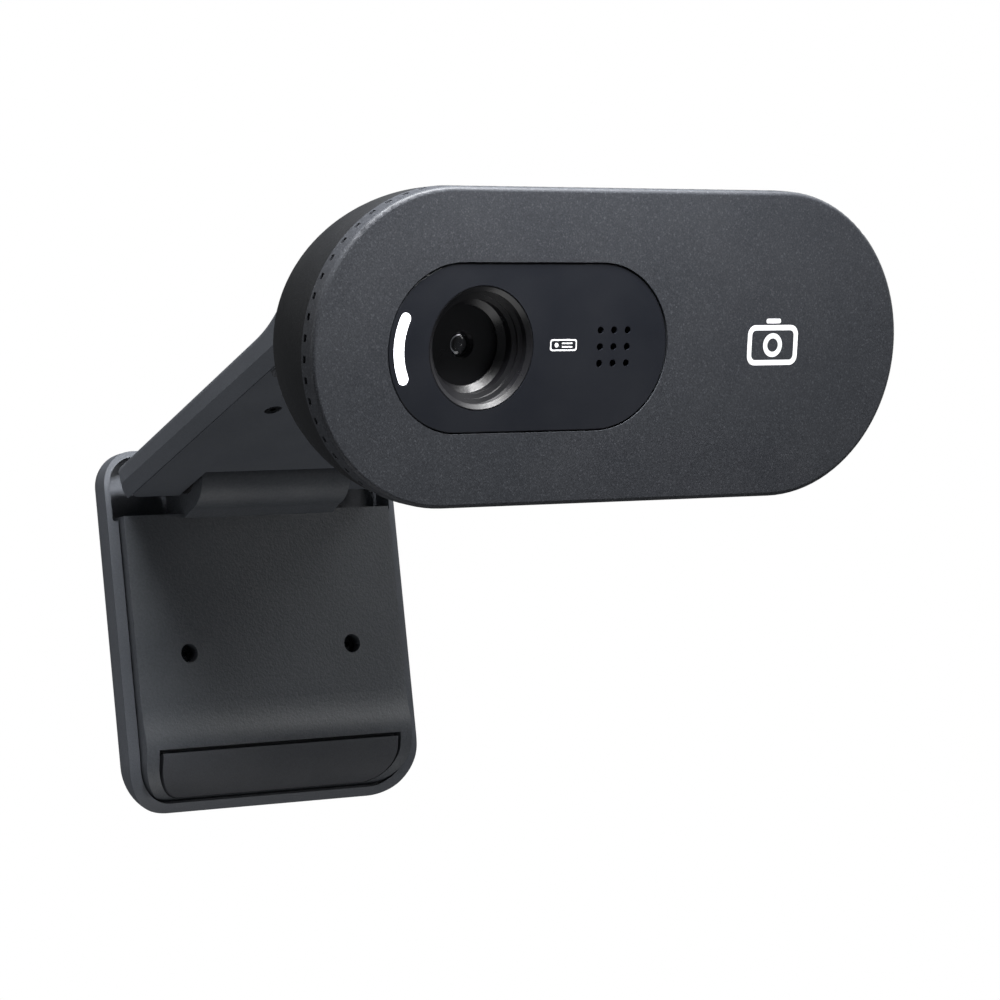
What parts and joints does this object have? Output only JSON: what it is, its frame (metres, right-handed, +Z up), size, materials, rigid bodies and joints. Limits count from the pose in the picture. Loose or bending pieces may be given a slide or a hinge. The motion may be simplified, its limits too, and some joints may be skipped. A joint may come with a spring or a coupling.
{
  "type": "webcam with monitor clip",
  "caption": "Stadium-shaped webcam head with lens, status light and microphone holes, tilting on a clip arm with a hinged rear foot that grips a monitor's top edge.",
  "frame": {"origin": "centre of the arm's rubber grip pad, on the face that rests on a monitor's top edge", "axes": "+Z up, -Y the way the camera looks out, +X left to right as seen from in front"},
  "size_m": [0.0728, 0.0947, 0.0399],
  "materials": {
    "face_paint": "fine speckled satin",
    "shell_plastic": "fine matte texture",
    "panel_plastic": "smooth satin",
    "black_plastic": "semi gloss black",
    "clip_plastic": "satin",
    "clip_textured": "fine spark texture",
    "rubber": "matte",
    "lens_glass": "coated",
    "filter_glass": "polished",
    "light_diffuser": "lit diffuser",
    "steel": "turned",
    "black_steel": "blackened",
    "board": "solder mask",
    "chip": "moulded",
    "mic_metal": "plated",
    "foam": "soft",
    "connector_nylon": "moulded"
  },
  "bodies": {
    "arm": {"arm_top_shell": "clip_plastic", "arm_under_panel": "clip_plastic", "arm_grip_pad": "rubber", "fold_pin": "steel", "arm_screw_right": "black_steel", "arm_screw_left": "black_steel", "tilt_washer_right": "steel", "tilt_washer_left": "steel"},
    "head": {"front_bezel": "face_paint", "rear_shell": "shell_plastic", "tilt_bracket": "shell_plastic", "tilt_pin": "steel", "inset_panel": "panel_plastic", "lens_surround": "black_plastic", "lens_front_glass": "lens_glass", "lens_barrel": "black_plastic", "lens_rear_glass": "lens_glass", "lens_holder": "chip", "infrared_filter": "filter_glass", "image_sensor": "chip", "main_board": "board", "video_chip": "chip", "lead_connector": "connector_nylon", "microphone": "mic_metal", "microphone_gasket": "foam", "status_light_guide": "light_diffuser", "status_led": "light_diffuser", "board_screw_right": "black_steel", "board_screw_left": "black_steel", "board_post_right": "shell_plastic", "board_post_left": "shell_plastic", "cable_gland": "rubber"},
    "foot": {"foot_back_shell": "clip_plastic", "foot_inner_panel": "clip_textured", "foot_pad": "rubber", "foot_screw_right": "black_steel", "foot_screw_left": "black_steel", "fold_bush_right": "chip", "fold_bush_left": "chip"}
  },
  "joints": [
    {"name": "head_tilt", "type": "hinge", "parent": "arm", "child": "head", "pos_m": [0, -0.01588, 0.00112], "axis": [-1, 0, 0], "range_deg": [-8, 50]},
    {"name": "foot_fold", "type": "hinge", "parent": "arm", "child": "foot", "pos_m": [0, 0.0369, 0.00211], "axis": [1, 0, 0], "range_deg": [-92, 70]}
  ]
}
